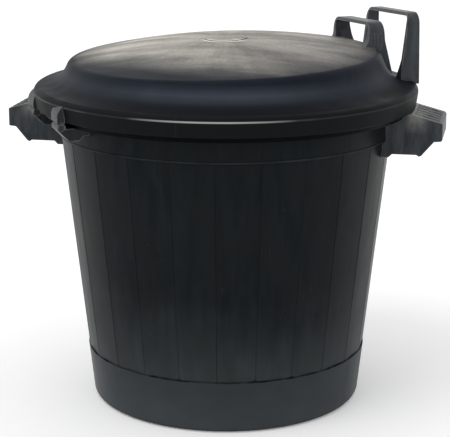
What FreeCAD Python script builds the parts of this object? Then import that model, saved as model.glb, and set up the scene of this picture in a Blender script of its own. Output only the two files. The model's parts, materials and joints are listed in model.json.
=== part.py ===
import FreeCAD, Part
import math
import os

os.makedirs("parts", exist_ok=True)

V = FreeCAD.Vector
CENTRE = V(0, 0, 0)
UP = V(0, 0, 1)

# All sizes are in millimetres and heights are measured from the floor.
# The bin's axis is Z, the right-hand grip points along +X.

# Tub
base_radius = 179.0
base_edge_round = 10.0
base_band_height = 70.0
seam_height = 360.0
seam_radius = 218.5
tub_wall = 3.0
floor_thickness = 4.0
foot_height = 3.0
foot_width = 15.0
inner_floor_round = 14.0
stave_count = 24
stave_setback = 0.8
groove_half_angle = 0.32
groove_depth = 0.9
collar_proud = 0.8
collar_step = 6.0
seam_bead_width = 2.4
seam_bead_proud = 0.8
collar_radius = seam_radius + collar_proud
collar_inner_radius = collar_radius - tub_wall

# Rim of the tub, under the lid
collar_height = 54.0
rim_height = seam_height + collar_height
rim_overhang = 20.7
rim_radius = collar_radius + rim_overhang
rim_thickness = 2.5
rim_lip = 25.0
rim_round = 4.0
lip_bottom = rim_height - rim_lip

# Lid
lid_overhang = 12.6
lid_radius = rim_radius + lid_overhang
lid_wall = 3.0
band_drop = 18.0
band_bottom = rim_height - band_drop
band_draft = 3.6
band_round = 7.0
band_edge_round = 1.0
shelf_rise = 7.2
shelf_height = rim_height + shelf_rise
shelf_slope = 0.11
flare_inset = 35.0
flare_radius = lid_radius - flare_inset
flare_height = shelf_height + shelf_slope * flare_inset
flare_round = 38.0
skirt_run = 14.5
plateau_radius = flare_radius - skirt_run
skirt_rise = 33.6
plateau_height = flare_height + skirt_rise
plateau_round = 10.0
dome_rise = 21.8
dome_lean = 26.0
lid_top = plateau_height + dome_rise
dome_radius = (plateau_radius ** 2 + dome_rise ** 2) / (2 * dome_rise)
centre_disc_radius = 28.0
centre_disc_proud = 0.8
seat_gap = 0.3
seat_rib_width = 3.0
seat_rib_inset = 3.0
seat_rib_radius = collar_radius + seat_rib_inset

# Side grips
grip_half_width = 42.7
grip_wall = 3.0
grip_lid_gap = 0.8
grip_reach = 47.0
grip_flat = 7.0
grip_bend_round = 6.0
grip_corner_round = 4.0
grip_top = band_bottom - grip_lid_gap
grip_nose = rim_radius + grip_reach
grip_bend = rim_radius + grip_flat
nose_drop = 10.7
nose_height = 23.0
nose_top = grip_top - nose_drop
nose_bottom = nose_top - nose_height
nose_step = 10.3
nose_step_drop = 1.0
nose_round = 3.5
nose_edge_round = 2.0
nose_floor = 2.5
tip_setback = 26.0
tip_width = 6.0
tip_bump = 2.0
tip_round = 1.0
tip_drop = 18.5
web_bottom = nose_bottom - tip_drop
web_fillet = 4.5
grip_rib_count = 5
grip_rib_pitch = 15.0
grip_rib_width = 2.0
grip_rib_proud = 1.0
grip_rib_end = 4.0
grip_rib_round = 0.6
back_plate = 3.2

# Hinge: two knuckles side by side, next to the left-hand grip
knuckle_offset = 57.0
knuckle_width = 26.0
knuckle_start = knuckle_offset - knuckle_width / 2
knuckle_end = knuckle_offset + knuckle_width / 2
grip_hinge_gap = 9.4
grip_half_angle = math.degrees(math.asin(grip_half_width / collar_radius))
knuckle_end_angle = math.degrees(math.asin(knuckle_end / collar_radius))
hinge_angle = 180 + grip_half_angle + knuckle_end_angle + math.degrees(grip_hinge_gap / collar_radius)
cheek_width = 7.0
cheek_gap = 0.4
eye_radius = 5.5
eye_gap = 0.6
pin_radius = 2.5
pin_clearance = 0.08
pin_head_radius = 3.8
pin_head_height = 2.2
pin_head_gap = 0.1
pin_cap_height = 2.6
axis_drop = 6.1
axis_inset = 5.0
axis_height = band_bottom - axis_drop
axis_depth = lid_radius - band_draft - axis_inset
bracket_gap = 0.6
bracket_wall = 3.0
bracket_back = 6.0
bracket_top = lip_bottom - bracket_gap
bracket_seat = 9.8
bracket_heel = 13.5
bracket_toe_drop = 15.7
bracket_toe_round = 3.0
leaf_gap = 0.8
leaf_bottom = axis_height + eye_radius + leaf_gap
leaf_drop = 2.0
leaf_top = shelf_height - leaf_drop
leaf_reach = eye_radius
leaf_round = 16.0
leaf_edge_round = 1.2
leaf_overhang = 11.5
leaf_radius = lid_radius + leaf_overhang
neck_angle = 54.0

# Loops on the lid, nearly opposite the hinge
loop_skew = 2.3
loop_angle = hinge_angle - 180 - loop_skew
loop_corner = 15.0
loop_inside_corner = 5.0
loop_edge_round = 1.0
loop_tip = 2.7
inner_loop_half = 60.0
inner_loop_shift = 3.4
inner_loop_rise = 16.4
inner_loop_top = lid_top + inner_loop_rise
inner_loop_leg = 5.5
inner_loop_bar = 4.5
inner_loop_inset = 3.0
inner_loop_width = 20.0
inner_loop_far = plateau_radius - inner_loop_inset
inner_loop_near = inner_loop_far - inner_loop_width
inner_foot_sink = 32.0
inner_foot_end = 14.0
inner_foot_spread = 27.0
inner_foot_reach = 12.9
inner_foot_heel = 32.0
inner_waist_rise = 13.0
inner_waist_spread = 2.0
inner_waist_round = 18.0
flute_count = 3
flute_radius = 1.5
flute_depth = 0.85
flute_pitch = 5.0
outer_loop_half = 67.0
outer_loop_shift = -7.5
outer_loop_rise = 28.4
outer_loop_top = lid_top + outer_loop_rise
outer_loop_leg = 4.8
outer_loop_bar = 4.5
outer_loop_inset = 8.6
outer_loop_far = lid_radius - outer_loop_inset
outer_loop_width = 15.0
outer_foot_width = 26.0
outer_foot_spread = 16.0
outer_foot_rise = 32.0
outer_foot_sink = 6.0
outer_foot_shoulder = 8.0

# Screws
screw_radius = 1.9
screw_length = 10.0
screw_head_radius = 3.8
screw_head_height = 2.0
screw_hole_gap = 0.2
screw_seat_gap = 0.02
screw_pad_radius = 5.5
screw_spacing = 8.5
collar_seat_radius = math.sqrt(collar_inner_radius ** 2 - screw_head_radius ** 2) - screw_seat_gap
grip_screw_angle = grip_half_angle / 2
grip_screw_rise = 13.0
grip_screw_height = nose_bottom + grip_screw_rise
bracket_screw_height = bracket_top - bracket_seat / 2
clip_screw_rise = 4.8
clip_screw_height = leaf_bottom + clip_screw_rise
clip_seat_gap = 3.6
clip_seat_radius = rim_radius + clip_seat_gap
inner_screw_sink = 3.0
inner_screw_seat = plateau_height - inner_screw_sink
inner_screw_inset = 8.5
inner_screw_reach = 7.0
inner_screw_depth = inner_loop_near + inner_screw_reach
inner_screw_side = inner_loop_half - inner_screw_inset
outer_screw_lift = 3.4
outer_screw_seat = rim_height + outer_screw_lift
outer_screw_inset = 8.0
outer_screw_depth = outer_loop_far - outer_loop_width
outer_screw_side = outer_loop_half - outer_screw_inset


# Outlines, written as (across, height, corner radius), anticlockwise in the XZ plane

def unit_step(start, end):
    across = end[0] - start[0]
    height = end[1] - start[1]
    length = math.hypot(across, height)
    return across / length, height / length


def rounded_corner(before, corner, after):
    back = unit_step(corner, before)
    ahead = unit_step(corner, after)
    half = math.acos(back[0] * ahead[0] + back[1] * ahead[1]) / 2
    reach = corner[2] / math.tan(half)
    rise = corner[2] / math.sin(half) - corner[2]
    middle = unit_step((0, 0), (back[0] + ahead[0], back[1] + ahead[1]))
    start = V(corner[0] + back[0] * reach, 0, corner[1] + back[1] * reach)
    middle = V(corner[0] + middle[0] * rise, 0, corner[1] + middle[1] * rise)
    end = V(corner[0] + ahead[0] * reach, 0, corner[1] + ahead[1] * reach)
    return start, middle, end


def outline(corners):
    knots = []
    for index, corner in enumerate(corners):
        point = V(corner[0], 0, corner[1])
        if corner[2] > 0:
            after = corners[(index + 1) % len(corners)]
            knots.append(rounded_corner(corners[index - 1], corner, after))
        else:
            knots.append((point, point, point))
    edges = []
    for index, (start, middle, end) in enumerate(knots):
        if corners[index][2] > 0:
            edges.append(Part.Arc(start, middle, end).toShape())
        edges.append(Part.makeLine(end, knots[(index + 1) % len(knots)][0]))
    return Part.Face(Part.Wire(edges))


def inset(corners, distance):
    moved = []
    for index, corner in enumerate(corners):
        come = unit_step(corners[index - 1], corner)
        leave = unit_step(corner, corners[(index + 1) % len(corners)])
        scale = distance / (1 + come[0] * leave[0] + come[1] * leave[1])
        across = corner[0] - scale * (come[1] + leave[1])
        height = corner[1] + scale * (come[0] + leave[0])
        hollow = come[0] * leave[1] < come[1] * leave[0]
        radius = corner[2]
        if radius > 0:
            radius = radius + distance if hollow else max(radius - distance, 0)
        moved.append((across, height, radius))
    return moved


def turned(corners):
    return outline(corners).revolve(CENTRE, UP, 360)


def prism(corners, start, end):
    solid = outline(corners).extrude(V(0, end - start, 0))
    solid.translate(V(0, start, 0))
    return solid


def box(x_range, y_range, z_range):
    corner = V(x_range[0], y_range[0], z_range[0])
    return Part.makeBox(x_range[1] - x_range[0], y_range[1] - y_range[0], z_range[1] - z_range[0], corner)


def turn(shape, angle):
    moved = shape.copy()
    moved.rotate(CENTRE, UP, angle)
    return moved


def mirrored(shape):
    return shape.mirror(CENTRE, V(0, 1, 0))


def joined(shapes):
    return shapes[0].multiFuse(shapes[1:]).removeSplitter()


def rod(radius, start, end):
    # A round bar along Y on the hinge line
    return Part.makeCylinder(radius, end - start, V(axis_depth, start, axis_height), V(0, 1, 0))


# Places of the screws

def side_angle(side, radius):
    return math.degrees(math.asin(side / radius))


def spoke(shape, radius, angle, height):
    # Something made along +X, moved out to a radius and turned round the bin
    moved = shape.copy()
    moved.translate(V(radius, 0, height))
    return turn(moved, angle)


def upright(shape, x, y, z):
    moved = shape.copy()
    moved.rotate(CENTRE, V(0, 1, 0), -90)
    moved.translate(V(x, y, z))
    return moved


def cylinder_along(radius, start, end):
    return Part.makeCylinder(radius, end - start, V(start, 0, 0), V(1, 0, 0))


def screw():
    head = cylinder_along(screw_head_radius, -screw_head_height, 0)
    return joined([head, cylinder_along(screw_radius, 0, screw_length)])


def knuckle_angles(radius):
    angles = []
    for side in (-1, 1):
        for shift in (-screw_spacing, screw_spacing):
            angles.append(hinge_angle + side_angle(side * knuckle_offset + shift, radius))
    return angles


def collar_screw_places():
    places = []
    for start in (0, 180):
        for side in (-1, 1):
            places.append((start + side * grip_screw_angle, grip_screw_height))
    for angle in knuckle_angles(collar_radius):
        places.append((angle, bracket_screw_height))
    return places


def clip_screw_places():
    return [(angle, clip_screw_height) for angle in knuckle_angles(lid_radius)]


def loop_screw_places():
    places = []
    for side in (-1, 1):
        places.append((inner_screw_depth, inner_loop_shift + side * inner_screw_side, inner_screw_seat))
        places.append((outer_screw_depth, outer_loop_shift + side * outer_screw_side, outer_screw_seat))
    return places


def at_collar(shape):
    return [spoke(shape, collar_seat_radius, angle, height) for angle, height in collar_screw_places()]


def at_clips(shape):
    return [spoke(shape, clip_seat_radius, angle, height) for angle, height in clip_screw_places()]


def at_loops(shape):
    return [turn(upright(shape, x, y, z), loop_angle) for x, y, z in loop_screw_places()]


def pilot():
    return cylinder_along(screw_radius, 0, screw_length)


def clearance_hole():
    return cylinder_along(screw_radius + screw_hole_gap, -screw_length, screw_length)


# Tub

def tub_radius(height):
    return base_radius + (seam_radius - base_radius) * height / seam_height


def stave_ring(height):
    corner_radius = tub_radius(height) - stave_setback * tub_radius(height) / seam_radius
    groove_radius = corner_radius * (1 - groove_depth / seam_radius)
    points = []
    for index in range(stave_count):
        middle = (index + 0.5) * 360 / stave_count
        spots = (
            (middle - groove_half_angle, corner_radius),
            (middle, groove_radius),
            (middle + groove_half_angle, corner_radius),
        )
        for angle, radius in spots:
            turn_angle = math.radians(angle)
            points.append(V(radius * math.cos(turn_angle), radius * math.sin(turn_angle), height))
    return points


def staves():
    low = stave_ring(base_band_height)
    high = stave_ring(seam_height)
    faces = [Part.Face(Part.makePolygon(ring + ring[:1])) for ring in (low, high)]
    for index in range(len(low)):
        following = (index + 1) % len(low)
        corners = [low[index], low[following], high[following], high[index], low[index]]
        faces.append(Part.Face(Part.makePolygon(corners)))
    solid = Part.makeSolid(Part.makeShell(faces))
    if solid.Volume < 0:
        solid.reverse()
    return solid


def tub_outside():
    band = turned([
        (0, 0, 0),
        (base_radius, 0, base_edge_round),
        (tub_radius(base_band_height), base_band_height, 0),
        (0, base_band_height, 0),
    ])
    bead_low = seam_height - seam_bead_width / 2
    bead_high = seam_height + seam_bead_width / 2
    bead_edge = collar_radius + seam_bead_proud
    collar = turned([
        (0, bead_low, 0),
        (bead_edge, bead_low, seam_bead_proud / 2),
        (bead_edge, bead_high, seam_bead_proud / 2),
        (collar_radius, bead_high, 0),
        (collar_radius, rim_height, 0),
        (0, rim_height, 0),
    ])
    return joined([band, staves(), collar, rim()])


def rim():
    inside = rim_radius - rim_thickness
    return turned([
        (collar_inner_radius, rim_height - rim_thickness, 0),
        (inside, rim_height - rim_thickness, rim_round - rim_thickness),
        (inside, lip_bottom, 0),
        (rim_radius, lip_bottom, 0),
        (rim_radius, rim_height, rim_round),
        (collar_inner_radius, rim_height, 0),
    ])


def tub_inside():
    flat = math.cos(math.pi / stave_count)
    floor_top = foot_height + floor_thickness
    seam_inside = (seam_radius - stave_setback) * flat - tub_wall
    floor_inside = tub_radius(floor_top) * flat - stave_setback - tub_wall
    return turned([
        (0, floor_top, 0),
        (floor_inside, floor_top, inner_floor_round),
        (seam_inside, seam_height, 0),
        (collar_inner_radius, seam_height + collar_step, 0),
        (collar_inner_radius, rim_height + 1, 0),
        (0, rim_height + 1, 0),
    ])


def make_tub(outside):
    recess = Part.makeCylinder(base_radius - base_edge_round - foot_width, foot_height)
    return outside.cut([tub_inside(), recess] + at_collar(clearance_hole()))


# Side grips

def grip_outline():
    inner = collar_radius * 0.9
    tip = grip_nose - tip_setback
    return [
        (inner, web_bottom - web_fillet, 0),
        (collar_radius, web_bottom - web_fillet, 0),
        (collar_radius + web_fillet, web_bottom, web_fillet / 2),
        (tip - tip_width, web_bottom, 0),
        (tip - tip_width / 2, web_bottom - tip_bump, tip_round),
        (tip, web_bottom - tip_bump / 2, 0),
        (grip_nose - nose_step, nose_bottom - nose_step_drop, tip_round),
        (grip_nose, nose_bottom, nose_edge_round),
        (grip_nose, nose_top, nose_round),
        (grip_bend, grip_top, grip_bend_round),
        (inner, grip_top, 0),
    ]


def grip_pocket():
    inner = collar_radius * 0.9
    low = web_bottom - 2 * web_fillet
    corners = [
        (inner, low, 0),
        (grip_nose - nose_step, low, 0),
        (grip_nose - nose_step, nose_bottom + nose_floor, 0),
        (grip_nose - grip_wall, nose_bottom + nose_floor, 0),
        (grip_nose - grip_wall, nose_top - nose_step_drop, nose_edge_round),
        (grip_bend, grip_top - grip_wall, grip_bend_round / 2),
        (inner, grip_top - grip_wall, 0),
    ]
    half = grip_half_width - grip_wall
    back_bottom = seam_height + seam_bead_width
    back = Part.makeCylinder(collar_radius + back_plate, lip_bottom - back_bottom, V(0, 0, back_bottom))
    return prism(corners, -half, half).cut(back)


def grip_rib(side):
    slope = (grip_top - nose_top) / (grip_nose - grip_bend)
    start = grip_bend + grip_rib_end
    end = grip_nose - grip_rib_end
    start_height = grip_top - slope * (start - grip_bend)
    end_height = grip_top - slope * (end - grip_bend)
    corners = [
        (start, start_height - grip_rib_proud, 0),
        (end, end_height - grip_rib_proud, 0),
        (end, end_height + grip_rib_proud, grip_rib_round),
        (start, start_height + grip_rib_proud, grip_rib_round),
    ]
    return prism(corners, side - grip_rib_width / 2, side + grip_rib_width / 2)


def make_grip(outside):
    plan = box((0, grip_nose), (-grip_half_width, grip_half_width), (0, rim_height))
    upright_edges = []
    for edge in plan.Edges:
        if edge.BoundBox.ZLength > rim_height / 2 and edge.BoundBox.XMin > grip_nose - 1:
            upright_edges.append(edge)
    plan = plan.makeFillet(grip_corner_round, upright_edges)
    block = prism(grip_outline(), -grip_half_width, grip_half_width).common(plan)
    pieces = [block.cut(grip_pocket())]
    for index in range(grip_rib_count):
        pieces.append(grip_rib((index - (grip_rib_count - 1) / 2) * grip_rib_pitch))
    boss = cylinder_along(screw_pad_radius, tub_wall / 2, screw_length + screw_radius)
    places = collar_screw_places()[:2]
    for angle, height in places:
        pieces.append(spoke(boss, collar_seat_radius, angle, height))
    under_lid = Part.makeCylinder(rim_radius, rim_height, V(0, 0, bracket_top))
    holes = [spoke(pilot(), collar_seat_radius, angle, height) for angle, height in places]
    return joined(pieces).cut([outside, under_lid] + holes)


# Lid

def lid_outline():
    # The skirt's line goes on past the top of the dome, which then trims it
    beyond = dome_rise + 2 * lid_wall
    above = (plateau_radius - skirt_run * beyond / skirt_rise, plateau_height + beyond)
    return [
        (0, band_bottom, 0),
        (lid_radius - band_draft, band_bottom, band_edge_round),
        (lid_radius, shelf_height, band_round),
        (flare_radius, flare_height, flare_round),
        (above[0], above[1], 0),
        (0, above[1], 0),
    ]


def dome_ball(growth):
    # The crown leans a little towards the loops
    return Part.makeSphere(dome_radius + growth, V(dome_lean, 0, lid_top - dome_radius))


def domed(corners, depth):
    form = turned(corners).common(dome_ball(-depth))
    brim = []
    for edge in form.Edges:
        spans = min(edge.BoundBox.XLength, edge.BoundBox.YLength)
        if spans > plateau_radius / 2 and edge.BoundBox.ZMin > plateau_height - plateau_round:
            brim.append(edge)
    return turn(form.makeFillet(plateau_round - depth, brim), loop_angle)


def lid_outside():
    return domed(lid_outline(), 0)


def lid_hollow():
    corners = inset(lid_outline(), lid_wall)
    corners[0] = (0, corners[0][1], 0)
    corners[-1] = (0, corners[-1][1], 0)
    corners[1] = (corners[1][0], corners[1][1], 0)
    mouth = Part.makeCylinder(corners[1][0], lid_wall * 2, V(0, 0, band_bottom - lid_wall))
    return domed(corners, lid_wall).fuse(mouth)


def lid_seat(outside):
    height = flare_height - rim_height
    start = V(0, 0, rim_height + seat_gap)
    ring = Part.makeCylinder(seat_rib_radius + seat_rib_width, height, start)
    return ring.cut(Part.makeCylinder(seat_rib_radius, height, start)).common(outside)


def centre_disc():
    low = V(0, 0, lid_top - lid_wall * 0.7)
    disc = Part.makeCylinder(centre_disc_radius, lid_wall * 2, low).common(dome_ball(centre_disc_proud))
    return turn(disc, loop_angle)


def make_lid(outside):
    pad = cylinder_along(screw_pad_radius, 0, screw_length)
    pads = [shape.common(outside) for shape in at_clips(pad) + at_loops(pad)]
    shell = outside.cut(lid_hollow())
    whole = joined([shell, lid_seat(outside), centre_disc()] + pads)
    return whole.cut(at_clips(clearance_hole()) + at_loops(clearance_hole()))


# Hinge, made for the knuckle at +Y and mirrored for the other one

def make_bracket(outside):
    slant = eye_radius * math.sqrt(0.5)
    touch = (axis_depth + slant, axis_height - slant)
    toe_height = bracket_top - bracket_toe_drop
    toe = touch[0] - (touch[1] - toe_height)
    heel = toe - bracket_heel
    seat_height = bracket_top - bracket_seat
    wall = heel - (seat_height - toe_height)
    inner = collar_radius * 0.85
    block = prism([
        (inner, seat_height, 0),
        (wall, seat_height, 0),
        (heel, toe_height, bracket_toe_round),
        (toe, toe_height, bracket_toe_round),
        (touch[0], touch[1], 0),
        (axis_depth, axis_height, 0),
        (axis_depth - eye_radius, bracket_top, 0),
        (inner, bracket_top, 0),
    ], knuckle_start, knuckle_end).fuse(rod(eye_radius, knuckle_start, knuckle_end))
    high = axis_height + 3 * eye_radius
    pocket = prism(inset([
        (inner, seat_height, 0),
        (wall, seat_height, 0),
        (heel, toe_height, 0),
        (toe, toe_height, 0),
        (toe + high - toe_height, high, 0),
        (inner, high, 0),
    ], bracket_wall), knuckle_start + cheek_width, knuckle_end - cheek_width)
    back = Part.makeCylinder(collar_radius + bracket_back, high)
    bore = rod(pin_radius + pin_clearance, knuckle_start, knuckle_end)
    head_space = rod(pin_head_radius + pin_head_gap, knuckle_start, knuckle_start + pin_head_height)
    cap_space = rod(pin_head_radius + pin_head_gap, knuckle_end - pin_cap_height, knuckle_end)
    swing = rod(eye_radius + eye_gap, knuckle_start + cheek_width, knuckle_end - cheek_width)
    return block.cut([pocket.cut(back), swing, bore, head_space, cap_space, outside])


def make_clip(outside):
    start = knuckle_start + cheek_width + cheek_gap
    end = knuckle_end - cheek_width - cheek_gap
    inner = lid_radius * 0.92
    neck_in = axis_depth - eye_radius * 0.7
    neck_out = axis_depth + (leaf_bottom - axis_height) / math.tan(math.radians(neck_angle))
    neck_top = leaf_bottom + leaf_gap
    neck = prism([
        (neck_in, axis_height, 0),
        (axis_depth, axis_height, 0),
        (neck_out, neck_top, 0),
        (neck_in, neck_top, 0),
    ], start, end)
    leaf = prism([
        (inner, leaf_bottom, 0),
        (axis_depth + leaf_reach, leaf_bottom, leaf_edge_round),
        (axis_depth + leaf_reach, leaf_top, leaf_round),
        (inner, leaf_top, 0),
    ], knuckle_start, knuckle_end)
    sweep = Part.makeCylinder(leaf_radius, rim_lip + shelf_height, V(0, 0, lip_bottom))
    bore = rod(pin_radius + pin_clearance, start, end)
    whole = joined([rod(eye_radius, start, end), neck, leaf.common(sweep)])
    return whole.cut([bore, outside])


def make_pin():
    head = rod(pin_head_radius, knuckle_start, knuckle_start + pin_head_height)
    return joined([head, rod(pin_radius, knuckle_start, knuckle_end)])


def make_pin_cap():
    cap = rod(pin_head_radius, knuckle_end - pin_cap_height, knuckle_end)
    return cap.cut(rod(pin_radius, knuckle_end - pin_cap_height, knuckle_end))


def at_front(shape):
    return turn(shape, hinge_angle)


def at_rear(shape):
    return turn(mirrored(shape), hinge_angle)


# Loops, made across Y at +X of the bin's axis

def arch(half, leg, bar, top, base, foot_rise, foot_spread, near, far):
    window = half - leg
    foot = window - foot_spread
    knee = window - foot_spread * 0.3
    knee_height = base + foot_rise * 0.6
    bend = foot_spread / 2
    corners = [
        (-half, base, 0),
        (-foot, base, 0),
        (-knee, knee_height, bend),
        (-window, base + foot_rise, bend),
        (-window, top - bar, loop_inside_corner),
        (window, top - bar, loop_inside_corner),
        (window, base + foot_rise, bend),
        (knee, knee_height, bend),
        (foot, base, 0),
        (half, base, 0),
        (half, top, loop_corner),
        (-half, top, loop_corner),
    ]
    return turn(prism(corners, -far, -near), 90)


def loop_in_place(shape, shift, seat):
    # The loops stand a little askew, the near leg higher than the other
    tipped = shape.copy()
    tipped.rotate(V(0, 0, seat), V(1, 0, 0), -loop_tip)
    tipped.translate(V(0, shift, 0))
    return turn(tipped, loop_angle)


def inner_flutes(base):
    flutes = []
    middle = (inner_loop_near + inner_loop_far) / 2
    length = inner_loop_top - loop_corner - base
    side = inner_loop_half + flute_radius - flute_depth
    for edge in (-side, side):
        for index in range(flute_count):
            x = middle + (index - (flute_count - 1) / 2) * flute_pitch
            flutes.append(Part.makeCylinder(flute_radius, length, V(x, edge, base)))
    return flutes


def make_inner_loop(outside):
    base = plateau_height - inner_foot_sink
    near = inner_loop_near - inner_foot_heel
    far = inner_loop_far + inner_foot_reach
    body = arch(inner_loop_half, inner_loop_leg, inner_loop_bar, inner_loop_top, base,
                inner_loop_top - inner_foot_end - base, inner_foot_spread, near, far)
    waist = plateau_height + inner_waist_rise
    side = prism([
        (near, base, 0),
        (far, base, 0),
        (inner_loop_far + inner_waist_spread, waist, inner_waist_round),
        (inner_loop_far, inner_loop_top, loop_edge_round),
        (inner_loop_near, inner_loop_top, loop_edge_round),
        (inner_loop_near - inner_waist_spread, waist, inner_waist_round),
    ], -inner_loop_half, inner_loop_half)
    whole = body.common(side).cut(inner_flutes(base))
    placed = loop_in_place(whole, inner_loop_shift, plateau_height)
    return placed.cut([outside] + at_loops(pilot()))


def make_outer_loop(outside):
    base = shelf_height - outer_foot_sink
    near = outer_loop_far - outer_foot_width
    body = arch(outer_loop_half, outer_loop_leg, outer_loop_bar, outer_loop_top, base,
                outer_foot_rise, outer_foot_spread, near, outer_loop_far)
    side = prism([
        (near, base, 0),
        (outer_loop_far, base, 0),
        (outer_loop_far, outer_loop_top, loop_edge_round),
        (outer_loop_far - outer_loop_width, outer_loop_top, loop_edge_round),
        (near, flare_height + outer_foot_shoulder, 0),
    ], -outer_loop_half, outer_loop_half)
    placed = loop_in_place(body.common(side), outer_loop_shift, shelf_height)
    return placed.cut([outside] + at_loops(pilot()))


# Every piece is saved in its place

def save(name, shape):
    shape.exportStep("parts/" + name + ".step")


def group(shapes):
    return Part.makeCompound(shapes)


tub_form = tub_outside()
lid_form = lid_outside()
collar_pilots = at_collar(pilot())
clip_pilots = at_clips(pilot())
right_grip = make_grip(tub_form)
bracket = make_bracket(tub_form.copy())
clip = make_clip(lid_form)

save("tub", make_tub(tub_form))
save("right_grip", right_grip)
save("left_grip", turn(right_grip, 180))
save("front_hinge_bracket", at_front(bracket).cut(collar_pilots))
save("rear_hinge_bracket", at_rear(bracket).cut(collar_pilots))
save("front_hinge_pin", at_front(make_pin()))
save("rear_hinge_pin", at_rear(make_pin()))
save("pin_caps", group([at_front(make_pin_cap()), at_rear(make_pin_cap())]))
save("tub_screws", group(at_collar(screw())))
save("lid", make_lid(lid_form))
save("front_hinge_clip", at_front(clip).cut(clip_pilots))
save("rear_hinge_clip", at_rear(clip).cut(clip_pilots))
save("inner_loop", make_inner_loop(lid_form))
save("outer_loop", make_outer_loop(lid_form))
save("lid_screws", group(at_clips(screw()) + at_loops(screw())))
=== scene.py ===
import json
import math

import bpy
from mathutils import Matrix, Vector

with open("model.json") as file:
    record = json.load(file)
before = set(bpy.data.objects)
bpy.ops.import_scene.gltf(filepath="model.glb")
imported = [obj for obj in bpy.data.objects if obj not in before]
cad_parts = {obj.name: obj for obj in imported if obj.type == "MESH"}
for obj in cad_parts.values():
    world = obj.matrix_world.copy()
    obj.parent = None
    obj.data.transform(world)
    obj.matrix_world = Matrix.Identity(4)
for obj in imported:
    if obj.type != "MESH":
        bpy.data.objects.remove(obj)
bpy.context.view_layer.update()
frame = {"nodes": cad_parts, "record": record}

# Sizes that the finish follows: lengths in metres, angles in degrees, flare and bow as shares
base_band_top = 0.070
seam_height = 0.360
lip_height = 0.389
tub_flare = 0.11
stave_angle = 15.0
stave_bow = 0.75
lid_radius = 0.2526
shelf_height = 0.4212
hollow_height = shelf_height + 0.018
rim_highlight_height = shelf_height - 0.0057
plateau_radius = 0.2031
disc_radius = 0.028
edge_round = 0.0012
wear_width = 0.0018

# Where a finish sets in: first the place with none of it, then the place where it is full
wall_floor_light = (0.190, base_band_top)
wall_earth = (0.150, 0.090)
base_band_edge = (base_band_top + 0.0004, base_band_top - 0.0004)
lip_shade_edge = (lip_height - 0.004, lip_height - 0.001)
flare_front = (-0.140, -0.205)
shelf_edge = (shelf_height + 0.011, shelf_height + 0.004)
lid_band_edge = (lid_radius - 0.0050, lid_radius - 0.0040)
crown_edge = (plateau_radius - 0.003, plateau_radius - 0.045)
dust_and_sheen_front_left = (0.178, 0.105)
dust_and_sheen_back_left = (-0.175, 0.100)
disc_front = (-0.010, -0.020)
rim_front = (0.228, 0.250)
grip_inner = (0.236, 0.246)
grip_outer = (0.272, 0.252)
grip_high = (0.370, 0.386)

# Half widths of bands and lines: first where there is nothing left, then where it is full
hollow_width = (0.013, 0.0)
seam_width = (0.0014, 0.0008)
disc_width = (0.0060, 0.0035)
rim_highlight_width = (0.0014, 0.0006)

# Painted shade line on the ledge over the base band
ledge_thickness = (0.0002, 0.0016)
ledge_joint_thickness = (0.0, 0.0022)
ledge_foot = (-0.0012, -0.0004)
ledge_top = (0.0004, 0.0)

# How far patterns move an edge
wall_floor_light_shift = (-0.03, 0.03)
base_band_shift = (-0.035, 0.035)
crown_edge_shift = (-0.006, 0.006)

# Directions seen from the bin's axis
front = (0.12, -0.99, 0.0)
front_left = (-0.45, -0.89, 0.0)
back_left = (-0.85, 0.53, 0.0)

# The ranges that most values and nearly all values of a noise lie in
noise_span = (0.3, 0.7)
noise_reach = (0.2, 0.8)

# Two sets of scratches for each plastic: their turn in degrees, and the noise above which one shows
small_scratches = (((0, 15, 40), 0.66), ((0, 75, 10), 0.67))
tub_scratches = (((0, 80, 20), 0.665), ((0, 35, 55), 0.68))
lid_scratches = (((0, 0, 62), 0.665), ((0, 0, -20), 0.68))

# Strength of the moulded grain
small_grain = 0.12
tub_grain = 0.10
lid_grain = 0.10

# Shine and roughness
tub_shine = 0.08
tub_roughness = (0.30, 0.42)
lid_shine = 0.07
lid_roughness = (0.42, 0.54)
lid_mottling = (-0.03, 0.05)
steel_roughness = (0.30, 0.50)
floor_roughness = 0.9

# Camera
image_width = 450
camera_place = (0.400, -2.0535, 0.771)
camera_tilt = 14.33
camera_turn = 11.06
focal_pixels = 1607.1
sensor_width = 36.0

# Light
sky_fill = 0.86
key_strength = 0.62
key_spread = 35.0
key_from = (-1.0, -1.2, 2.2)
floor_reach = 12.0
floor_white = 0.97
floor_lift = 0.14


# Colours in linear light

def rgb(red, green, blue):
    return (red, green, blue, 1.0)


def grey(level):
    return rgb(level, level, level)


def scaled(colour, share):
    return rgb(*[share * part for part in colour[:3]])


# Colours of the tub
stave_dark = rgb(0.0048, 0.0064, 0.0076)
stave_light = rgb(0.0110, 0.0136, 0.0154)
stave_brown = rgb(0.0088, 0.0098, 0.0094)
stave_pale = rgb(0.0140, 0.0158, 0.0166)
# Painted light thrown up from the floor onto the wall's foot
stave_floor_light = rgb(0.0375, 0.0430, 0.0465)
stave_earth = rgb(0.0410, 0.0400, 0.0320)
groove_dark = grey(0.0030)
# Paler towards the floor, partly painted light thrown up from it
base_band_floor_lit = rgb(0.0480, 0.0550, 0.0605)
base_band_high = rgb(0.0320, 0.0380, 0.0425)
# Painted shade on the ledge over the base band
ledge_shade = grey(0.0020)
# Painted highlight on the seam's bead
seam_highlight = rgb(0.0380, 0.0410, 0.0420)
# Painted shade under the lid's band
lip_shade = grey(0.0010)
tub_scratch = grey(0.060)
tub_speck = grey(0.080)
tub_tint = rgb(0.45, 0.52, 0.55)

# Colours of the lid
lid_dark = rgb(0.0075, 0.0098, 0.0145)
lid_light = rgb(0.0125, 0.0156, 0.0220)
# A little dust and a painted soft highlight in the flare's hollow
lid_haze_and_highlight = rgb(0.0560, 0.0640, 0.0800)
# Painted shade on the shelf under the flare
lid_shelf_shade = rgb(0.0034, 0.0040, 0.0052)
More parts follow.
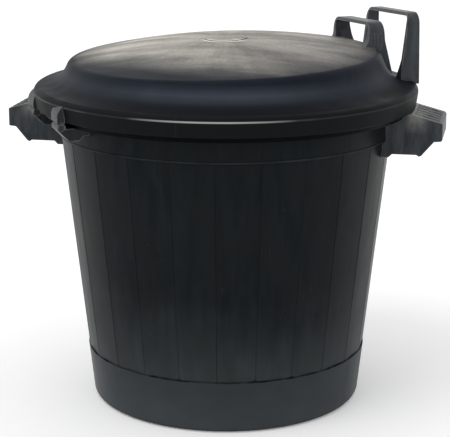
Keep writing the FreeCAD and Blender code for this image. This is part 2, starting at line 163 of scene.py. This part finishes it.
# Painted shade on the lid's upright band
lid_band_shade = rgb(0.0074, 0.0076, 0.0077)
# Pale dust and painted sheen on the crown
lid_dust_and_sheen = rgb(0.620, 0.580, 0.516)
lid_scratch = grey(0.09)
# Painted highlight on the front edge of the disc
disc_highlight = rgb(0.780, 0.740, 0.660)
# Painted highlight along the upper edge of the lid's band
rim_highlight = rgb(0.420, 0.422, 0.410)
lid_tint = rgb(0.45, 0.55, 0.70)

# Colours of the smaller pieces
black = rgb(0.0130, 0.0150, 0.0160)
black_tint = rgb(0.50, 0.54, 0.56)
slate = rgb(0.0230, 0.0260, 0.0290)
slate_tint = rgb(0.60, 0.64, 0.68)
# Pale edges, partly wear and partly painted edge highlight
grip_edge_wear_and_glint = rgb(0.22, 0.22, 0.21)
# Painted highlight on the grip's shoulders
grip_shoulder_highlight = rgb(0.33, 0.32, 0.30)
# Pale edges, partly wear and partly painted edge highlight
hinge_edge_wear_and_glint = rgb(0.28, 0.28, 0.27)
loop_edge_wear_and_glint = rgb(0.28, 0.29, 0.28)
cap_edge_wear_and_glint = grey(0.10)
pin_dark = grey(0.030)
pin_light = grey(0.055)
pin_stain = rgb(0.040, 0.032, 0.026)
screw_dark = grey(0.36)
screw_light = grey(0.50)
screw_stain = rgb(0.20, 0.15, 0.10)


# Shader helpers

def feed(tree, target, value):
    if isinstance(value, bpy.types.NodeSocket):
        tree.links.new(value, target)
    else:
        target.default_value = value


def add(tree, kind, inputs, **settings):
    made = tree.nodes.new(kind)
    for key, value in settings.items():
        setattr(made, key, value)
    for key, value in inputs.items():
        feed(tree, made.inputs[key], value)
    return made


def calc(tree, operation, first, second=0.0):
    return add(tree, "ShaderNodeMath", {0: first, 1: second}, operation=operation).outputs[0]


def times(tree, *values):
    total = values[0]
    for value in values[1:]:
        total = calc(tree, "MULTIPLY", total, value)
    return total


def away_from(tree, value, middle):
    return calc(tree, "ABSOLUTE", calc(tree, "SUBTRACT", value, middle))


def spread(tree, value, source, target=(0.0, 1.0)):
    # Carries a value from one range into another, and no further than its ends
    inputs = {"Value": value, "From Min": source[0], "From Max": source[1]}
    inputs["To Min"], inputs["To Max"] = target
    return add(tree, "ShaderNodeMapRange", inputs).outputs["Result"]


def blend(tree, amount, first, second):
    return add(tree, "ShaderNodeMix", {0: amount, 6: first, 7: second}, data_type="RGBA").outputs[2]


def vector_calc(tree, operation, *values):
    return add(tree, "ShaderNodeVectorMath", dict(enumerate(values)), operation=operation).outputs


def dot(tree, first, second):
    return vector_calc(tree, "DOT_PRODUCT", first, second)["Value"]


def unit(tree, vector):
    return vector_calc(tree, "NORMALIZE", vector)["Vector"]


def split_up(tree, vector):
    return add(tree, "ShaderNodeSeparateXYZ", {"Vector": vector}).outputs


def joined(tree, inputs):
    return add(tree, "ShaderNodeCombineXYZ", inputs).outputs[0]


def object_place(tree):
    return add(tree, "ShaderNodeTexCoord", {}).outputs["Object"]


def true_normal(tree):
    return add(tree, "ShaderNodeNewGeometry", {}).outputs["Normal"]


def softened_normal(tree, width, samples):
    return add(tree, "ShaderNodeBevel", {"Radius": width}, samples=samples).outputs["Normal"]


def around(tree, split):
    # Distance from the bin's axis, and the direction seen from it
    flat = joined(tree, {"X": split["X"], "Y": split["Y"]})
    return vector_calc(tree, "LENGTH", flat)["Value"], unit(tree, flat)


def stretched(tree, place, scale, turned=(0.0, 0.0, 0.0)):
    turned = tuple(math.radians(angle) for angle in turned)
    return add(tree, "ShaderNodeMapping", {"Vector": place, "Scale": scale, "Rotation": turned}).outputs[0]


def drawn_up(tree, place, share):
    # The smaller the share, the further a pattern is drawn out upwards
    return stretched(tree, place, (1.0, 1.0, share))


def noise(tree, place, scale, detail=4.0, roughness=0.55):
    inputs = {"Vector": place, "Scale": scale, "Detail": detail, "Roughness": roughness}
    return add(tree, "ShaderNodeTexNoise", inputs).outputs["Fac"]


def specks(tree, place, scale, size, share):
    # Small dots in a share of the cells of a grid
    cells = add(tree, "ShaderNodeTexVoronoi", {"Vector": place, "Scale": scale})
    dots = spread(tree, cells.outputs["Distance"], (size * 0.6, size), (1.0, 0.0))
    pick = add(tree, "ShaderNodeSeparateColor", {"Color": cells.outputs["Color"]}).outputs[0]
    return times(tree, dots, spread(tree, pick, (share, share * 0.9)))


def scratches(tree, place, turned, lowest):
    # Long thin marks where a strongly stretched pattern peaks
    lines = noise(tree, stretched(tree, place, (520.0, 12.0, 12.0), turned), scale=1.0, detail=2.0)
    patches = noise(tree, place, scale=11.0, detail=2.0)
    marks = spread(tree, lines, (lowest, lowest + 0.06))
    return times(tree, marks, spread(tree, patches, (0.50, 0.66)))


def crossed_scratches(tree, place, first, second):
    return calc(tree, "MAXIMUM", scratches(tree, place, *first), scratches(tree, place, *second))


# Parts that the materials share

def start_material(name):
    material = bpy.data.materials.new(name)
    material.use_nodes = True
    tree = material.node_tree
    return material, tree, tree.nodes["Principled BSDF"]


def dress(tree, surface, looks):
    for name, value in looks.items():
        feed(tree, surface.inputs[name], value)


def bumped(tree, height, strength, distance, normal):
    inputs = {"Height": height, "Strength": strength, "Distance": distance, "Normal": normal}
    return add(tree, "ShaderNodeBump", inputs).outputs[0]


def grain_over(tree, place, normal, grain):
    # A fine moulded grain and slow waves in the wall
    fine = noise(tree, place, scale=900.0, detail=2.0)
    waves = noise(tree, place, scale=14.0, detail=2.0)
    rough = bumped(tree, fine, strength=grain, distance=0.0004, normal=normal)
    return bumped(tree, waves, strength=0.25, distance=0.004, normal=rough)


def moulded_surface(tree, place, grain):
    return grain_over(tree, place, softened_normal(tree, edge_round, samples=6), grain)


def edge_wear_and_glint(tree, place):
    # Pale edges, partly rubbed and partly a painted edge highlight, lie where the softened normal leaves
    # the true one
    match = dot(tree, softened_normal(tree, wear_width, samples=8), true_normal(tree))
    ragged = noise(tree, place, scale=70.0, detail=3.0)
    return times(tree, spread(tree, match, (0.98, 0.80)), spread(tree, ragged, (0.30, 0.55)))


# Materials of the smaller plastic pieces

def plastic(name, colour, edge, tint, shine, roughness):
    material, tree, surface = start_material(name)
    place = object_place(tree)
    flow = noise(tree, drawn_up(tree, place, 0.25), scale=110.0, detail=6.0, roughness=0.62)
    body = blend(tree, spread(tree, flow, (0.32, 0.68)), scaled(colour, 0.55), scaled(colour, 2.0))
    worn_and_glinting = blend(tree, times(tree, edge_wear_and_glint(tree, place), 0.9), body, edge)
    marks = times(tree, crossed_scratches(tree, place, *small_scratches), 0.3)
    dress(tree, surface, {
        "Base Color": blend(tree, marks, worn_and_glinting, edge),
        "Roughness": spread(tree, flow, noise_span, (roughness - 0.06, roughness + 0.08)),
        "Normal": moulded_surface(tree, place, small_grain),
        "Specular IOR Level": shine,
        "Specular Tint": tint,
    })
    return material


def hinge_plastic():
    return plastic("hinge_plastic", black, hinge_edge_wear_and_glint, black_tint, shine=0.30, roughness=0.36)


def loop_plastic():
    return plastic("loop_plastic", slate, loop_edge_wear_and_glint, slate_tint, shine=0.42, roughness=0.36)


def cap_plastic():
    return plastic("cap_plastic", black, cap_edge_wear_and_glint, black_tint, shine=0.30, roughness=0.40)


def grip_plastic():
    # The webs get a painted pale highlight where the lid's band passes over their shoulders
    material = plastic("grip_plastic", slate, grip_edge_wear_and_glint, slate_tint, shine=0.30, roughness=0.40)
    tree = material.node_tree
    base = tree.nodes["Principled BSDF"].inputs["Base Color"]
    place = object_place(tree)
    split = split_up(tree, place)
    side = calc(tree, "ABSOLUTE", split["X"])
    shoulder = times(tree, spread(tree, side, grip_inner), spread(tree, side, grip_outer))
    high = spread(tree, split["Z"], grip_high)
    ragged = spread(tree, noise(tree, place, scale=40.0, detail=3.0), (0.30, 0.60))
    shoulder_highlight = times(tree, shoulder, high, ragged, 0.55)
    feed(tree, base, blend(tree, shoulder_highlight, base.links[0].from_socket, grip_shoulder_highlight))
    return material


# Material of the tub

def bowed_normal(tree, split):
    # The staves bulge a little, so their shading lies between flat and round
    fall = times(tree, around(tree, split)[0], -tub_flare)
    cone = unit(tree, joined(tree, {"X": split["X"], "Y": split["Y"], "Z": fall}))
    true = true_normal(tree)
    share = spread(tree, dot(tree, cone, true), (0.55, 0.80), (0.0, stave_bow))
    mixed = add(tree, "ShaderNodeMix", {0: share, 4: true, 5: cone}, data_type="VECTOR").outputs[1]
    return unit(tree, mixed)


def stave_joints(tree, split):
    # One at the line between two staves and nought in the middle of a stave, and a number for each stave
    angle = calc(tree, "ARCTAN2", split["Y"], split["X"])
    turns = calc(tree, "DIVIDE", calc(tree, "ADD", angle, math.pi), math.radians(stave_angle))
    joint = spread(tree, away_from(tree, calc(tree, "FRACT", turns), 0.5), (0.0, 0.5), (1.0, 0.0))
    stave = calc(tree, "FLOOR", calc(tree, "ADD", turns, 0.5))
    return joint, add(tree, "ShaderNodeTexWhiteNoise", {"W": stave}, noise_dimensions="1D").outputs["Value"]


def stave_colour(tree, place, shift, streaks):
    streaked = blend(tree, spread(tree, streaks, (0.32, 0.70)), stave_dark, stave_light)
    patches = noise(tree, drawn_up(tree, place, 0.6), scale=24.0, detail=7.0, roughness=0.62)
    patchy = times(tree, spread(tree, patches, (0.46, 0.62)), 0.75)
    patched = blend(tree, patchy, streaked, stave_brown)
    return blend(tree, times(tree, shift, 0.20), patched, stave_pale)


def floor_lit_wall(tree, wall, height, streaks, cloud):
    # The wall is painted paler towards the floor, as light thrown up from it, and is a little earthy there
    uneven = calc(tree, "ADD", height, spread(tree, cloud, noise_reach, wall_floor_light_shift))
    low = calc(tree, "POWER", spread(tree, uneven, wall_floor_light), 1.5)
    floor_lit_stave = blend(tree, times(tree, low, spread(tree, streaks, noise_span, (0.7, 1.0))), wall, stave_floor_light)
    earth = times(tree, spread(tree, uneven, wall_earth), spread(tree, cloud, (0.48, 0.68)), 0.3)
    return blend(tree, earth, floor_lit_stave, stave_earth)


def stave_grooves(tree, place, joint):
    # The grooves between the staves show as broken lines
    broken = noise(tree, drawn_up(tree, place, 0.4), scale=30.0, detail=3.0)
    return times(tree, spread(tree, joint, (0.980, 0.992)), spread(tree, broken, (0.40, 0.65), (0.0, 0.55)))


def base_band_colour(tree, height, cloud):
    # The base band is painted paler towards the floor, partly as light thrown up from it and partly as wear
    uneven = calc(tree, "ADD", height, spread(tree, cloud, noise_reach, base_band_shift))
    return blend(tree, spread(tree, uneven, (0.0, base_band_top)), base_band_floor_lit, base_band_high)


def ledge_shade_line(tree, place, height, joint):
    # A dark ragged line of painted shade lies on the ledge over the base band, thicker at the stave joints
    ragged = spread(tree, noise(tree, place, scale=120.0, detail=3.0), noise_span, ledge_thickness)
    back_left_rise = calc(tree, "ADD", ragged, spread(tree, joint, (0.80, 1.0), ledge_joint_thickness))
    above = calc(tree, "SUBTRACT", height, base_band_top)
    under = spread(tree, calc(tree, "SUBTRACT", above, back_left_rise), ledge_top)
    torn = spread(tree, noise(tree, place, scale=45.0, detail=3.0), (0.42, 0.58), (0.15, 0.85))
    return times(tree, under, spread(tree, above, ledge_foot), torn)


def seam_highlight_line(tree, height, cloud):
    # A painted highlight along the seam's bead, broken in places
    line = spread(tree, away_from(tree, height, seam_height), seam_width)
    return times(tree, line, spread(tree, cloud, (0.35, 0.60)), 0.5)


def tub_colour(tree, place, split, streaks):
    height = split["Z"]
    joint, shift = stave_joints(tree, split)
    cloud = noise(tree, place, scale=14.0, detail=5.0)
    wall = floor_lit_wall(tree, stave_colour(tree, place, shift, streaks), height, streaks, cloud)
    grooved = blend(tree, stave_grooves(tree, place, joint), wall, groove_dark)
    band = spread(tree, height, base_band_edge)
    banded = blend(tree, band, grooved, base_band_colour(tree, height, cloud))
    lined = blend(tree, ledge_shade_line(tree, place, height, joint), banded, ledge_shade)
    seamed = blend(tree, seam_highlight_line(tree, height, cloud), lined, seam_highlight)
    # Painted shade, near black, lies under the lid's band
    return blend(tree, spread(tree, height, lip_shade_edge), seamed, lip_shade)


def tub_plastic():
    material, tree, surface = start_material("tub_plastic")
    place = object_place(tree)
    split = split_up(tree, place)
    streaks = noise(tree, drawn_up(tree, place, 0.14), scale=70.0, detail=7.0, roughness=0.65)
    marks = times(tree, crossed_scratches(tree, place, *tub_scratches), 0.20)
    marked = blend(tree, marks, tub_colour(tree, place, split, streaks), tub_scratch)
    spots = specks(tree, place, scale=150.0, size=0.15, share=0.03)
    dress(tree, surface, {
        "Base Color": blend(tree, times(tree, spots, 0.3), marked, tub_speck),
        "Roughness": spread(tree, streaks, noise_span, tub_roughness),
        "Normal": grain_over(tree, place, bowed_normal(tree, split), tub_grain),
        "Specular IOR Level": tub_shine,
        "Specular Tint": tub_tint,
    })
    return material


# Material of the lid

def flare_haze_and_highlight(tree, split, cloud):
    # The hollow of the flare has a little dust and a painted soft highlight, most of all in front
    hollow = spread(tree, away_from(tree, split["Z"], hollow_height), hollow_width)
    cloudy = spread(tree, cloud, (0.35, 0.60), (0.4, 0.8))
    return times(tree, hollow, cloudy, spread(tree, split["Y"], flare_front, (0.5, 1.0)))


def crown_dust_and_sheen(tree, place, level, reach, toward, sweep):
    # Pale dust and painted sheen lie on the upward faces of the crown, wiped in rays, faint at its front
    # edge and strongest behind on the left
    uneven = spread(tree, noise(tree, place, scale=18.0, detail=5.0), noise_span, crown_edge_shift)
    edge = calc(tree, "POWER", spread(tree, calc(tree, "ADD", reach, uneven), crown_edge), 0.6)
    crown = times(tree, spread(tree, level, (0.90, 0.97)), edge)
    front_fade = spread(tree, dot(tree, place, front_left), dust_and_sheen_front_left)
    back_left_rise = spread(tree, dot(tree, place, back_left), dust_and_sheen_back_left, (0.38, 1.0))
    outward = vector_calc(tree, "ADD", toward, stretched(tree, place, (0.0, 0.0, 9.0)))["Vector"]
    rays = times(tree, noise(tree, outward, scale=4.0), 0.7)
    wiped = spread(tree, calc(tree, "ADD", rays, sweep), (0.72, 1.02), (1.0, 0.55))
    patches = noise(tree, place, scale=13.0, detail=5.0, roughness=0.6)
    grains = noise(tree, place, scale=210.0, detail=4.0, roughness=0.65)
    patchy = spread(tree, patches, (0.34, 0.58), (0.74, 1.0))
    grainy = spread(tree, grains, (0.36, 0.60), (0.78, 1.0))
    return times(tree, crown, front_fade, back_left_rise, wiped, patchy, grainy)


def disc_highlight_ring(tree, split, level, reach):
    # A painted highlight lies on the front edge of the disc on the crown
    ring = spread(tree, away_from(tree, reach, disc_radius), disc_width)
    return times(tree, ring, spread(tree, split["Y"], disc_front), spread(tree, level, (0.0, 0.5)))


def rim_highlight_line(tree, place, height, band, cloud):
    # A painted highlight lies along the upper edge of the lid's band, brightest in front
    line = spread(tree, away_from(tree, height, rim_highlight_height), rim_highlight_width)
    highlight_spot = spread(tree, dot(tree, place, front), rim_front)
    highlight_spot = calc(tree, "MAXIMUM", highlight_spot, spread(tree, cloud, (0.45, 0.65), (0.05, 0.25)))
    return times(tree, line, band, highlight_spot, 0.8)


def lid_colour(tree, place, sweep, cloud):
    split = split_up(tree, place)
    height = split["Z"]
    reach, toward = around(tree, split)
    level = split_up(tree, add(tree, "ShaderNodeTexCoord", {}).outputs["Normal"])["Z"]
    shelf = spread(tree, height, shelf_edge)
    band = spread(tree, reach, lid_band_edge)
    body = blend(tree, spread(tree, sweep, (0.30, 0.72)), lid_dark, lid_light)
    hazy = blend(tree, flare_haze_and_highlight(tree, split, cloud), body, lid_haze_and_highlight)
    # The shelf is painted darker, as painted shade
    shelved = blend(tree, times(tree, shelf, 0.85), hazy, lid_shelf_shade)
    # The band is painted darker and neutral, as painted shade
    banded = blend(tree, times(tree, band, 0.85), shelved, lid_band_shade)
    dusted = blend(tree, crown_dust_and_sheen(tree, place, level, reach, toward, sweep), banded, lid_dust_and_sheen)
    polished = blend(tree, disc_highlight_ring(tree, split, level, reach), dusted, disc_highlight)
    return blend(tree, rim_highlight_line(tree, place, height, band, cloud), polished, rim_highlight)


def lid_plastic():
    material, tree, surface = start_material("lid_plastic")
    place = object_place(tree)
    # Flow streaks run across the lid in a slanting sweep
    sweep = noise(tree, stretched(tree, place, (1.0, 4.5, 1.0), (0, 0, 28)), scale=9.0, detail=6.0)
    cloud = noise(tree, place, scale=7.0)
    streaked = spread(tree, sweep, noise_span, lid_roughness)
    marks = times(tree, crossed_scratches(tree, place, *lid_scratches), 0.2)
    dress(tree, surface, {
        "Base Color": blend(tree, marks, lid_colour(tree, place, sweep, cloud), lid_scratch),
        "Roughness": calc(tree, "ADD", streaked, spread(tree, cloud, noise_span, lid_mottling)),
        "Normal": moulded_surface(tree, place, lid_grain),
        "Specular IOR Level": lid_shine,
        "Specular Tint": lid_tint,
    })
    return material


# Materials of the steel pieces

def coated_steel(name, dark, light, stain):
    material, tree, surface = start_material(name)
    place = object_place(tree)
    turned_marks = noise(tree, stretched(tree, place, (60.0, 60.0, 900.0)), scale=6.0, detail=3.0)
    spots = noise(tree, place, scale=320.0)
    metal = blend(tree, spread(tree, turned_marks, noise_span), dark, light)
    dress(tree, surface, {
        "Base Color": blend(tree, times(tree, spread(tree, spots, (0.5, 0.7)), 0.6), metal, stain),
        "Roughness": spread(tree, spots, noise_span, steel_roughness),
        "Metallic": 1.0,
    })
    return material


def pin_steel():
    return coated_steel("pin_steel", pin_dark, pin_light, pin_stain)


def screw_steel():
    return coated_steel("screw_steel", screw_dark, screw_light, screw_stain)


def finish_nodes():
    materials = {
        "tub_plastic": tub_plastic(),
        "lid_plastic": lid_plastic(),
        "grip_plastic": grip_plastic(),
        "hinge_plastic": hinge_plastic(),
        "loop_plastic": loop_plastic(),
        "cap_plastic": cap_plastic(),
        "pin_steel": pin_steel(),
        "screw_steel": screw_steel(),
    }
    slots = {part["node"]: part["material_slot"] for part in frame["record"]["subparts"]}
    for name, node in frame["nodes"].items():
        for held in node.material_slots:
            held.material = materials[slots[name]]


# Studio

def pale_floor():
    # The floor looks a little whiter to the camera, and lights nothing by that
    material, tree, surface = start_material("pale_floor")
    seen = add(tree, "ShaderNodeLightPath", {}).outputs["Is Camera Ray"]
    dress(tree, surface, {
        "Base Color": grey(floor_white),
        "Roughness": floor_roughness,
        "Specular IOR Level": 0.0,
        "Emission Color": grey(1.0),
        "Emission Strength": times(tree, seen, floor_lift),
    })
    return material


def make_floor():
    bpy.ops.mesh.primitive_plane_add(size=2 * floor_reach, location=(0, 0, 0))
    floor = bpy.context.object
    floor.name = "floor"
    floor.data.materials.append(pale_floor())


def make_world():
    # White to the camera and in reflections, a little dimmer as light
    world = bpy.data.worlds.new("studio")
    world.use_nodes = True
    bpy.context.scene.world = world
    tree = world.node_tree
    ray = add(tree, "ShaderNodeLightPath", {})
    seen = calc(tree, "MAXIMUM", ray.outputs["Is Camera Ray"], ray.outputs["Is Glossy Ray"])
    seen = calc(tree, "MAXIMUM", seen, ray.outputs["Is Transmission Ray"])
    strength = spread(tree, seen, (0.0, 1.0), (sky_fill, 1.0))
    dress(tree, tree.nodes["Background"], {"Color": grey(1.0), "Strength": strength})


def make_key():
    lamp = bpy.data.lights.new("key", "SUN")
    lamp.energy = key_strength
    lamp.angle = math.radians(key_spread)
    holder = bpy.data.objects.new("key", lamp)
    bpy.context.collection.objects.link(holder)
    holder.location = key_from
    holder.rotation_euler = (-Vector(key_from)).to_track_quat("-Z", "Y").to_euler()


def make_camera():
    lens = bpy.data.cameras.new("camera")
    lens.sensor_fit = "HORIZONTAL"
    lens.sensor_width = sensor_width
    lens.lens = focal_pixels * sensor_width / image_width
    holder = bpy.data.objects.new("camera", lens)
    bpy.context.collection.objects.link(holder)
    holder.location = camera_place
    holder.rotation_euler = (math.radians(90 - camera_tilt), 0, math.radians(camera_turn))
    bpy.context.scene.camera = holder


finish_nodes()
make_floor()
make_world()
make_key()
make_camera()
bpy.context.scene.view_settings.view_transform = "Standard"
